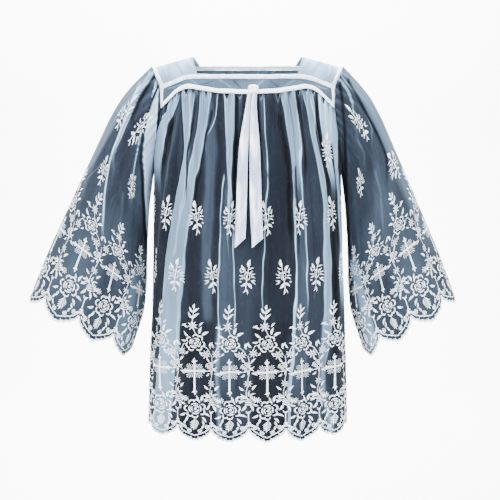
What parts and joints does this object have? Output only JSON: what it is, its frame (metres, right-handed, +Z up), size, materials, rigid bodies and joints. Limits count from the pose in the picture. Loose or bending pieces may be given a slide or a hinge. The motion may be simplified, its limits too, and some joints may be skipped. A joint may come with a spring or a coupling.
{
  "type": "embroidered net surplice",
  "caption": "Square-yoke surplice of sheer net with wide sleeves, a gathered body and a scalloped, embroidered hem, hollow as worn",
  "frame": {"origin": "midway between the two shoulder seams, at the height of their neck ends, where a wearer's shoulders hold the garment", "axes": "+Z up, -Y out of the front, +X towards the wearer's left sleeve"},
  "size_m": [0.9211, 0.3201, 0.808],
  "materials": {
    "net": "sheer matt net with raised white embroidery",
    "yoke": "doubled net, matt",
    "tape": "close white woven tape",
    "ribbon": "satin"
  },
  "bodies": {
    "root": {"front_panel": "net", "back_panel": "net", "left_sleeve": "net", "right_sleeve": "net", "front_yoke_band": "net", "back_yoke_band": "net", "left_shoulder": "yoke", "right_shoulder": "yoke", "front_neck_tape": "tape", "back_neck_tape": "tape", "front_gather_tape": "tape", "back_gather_tape": "tape", "left_armhole_tape": "tape", "right_armhole_tape": "tape", "ribbon_knot": "ribbon", "ribbon_tail_left": "ribbon", "ribbon_tail_right": "ribbon"}
  },
  "joints": []
}
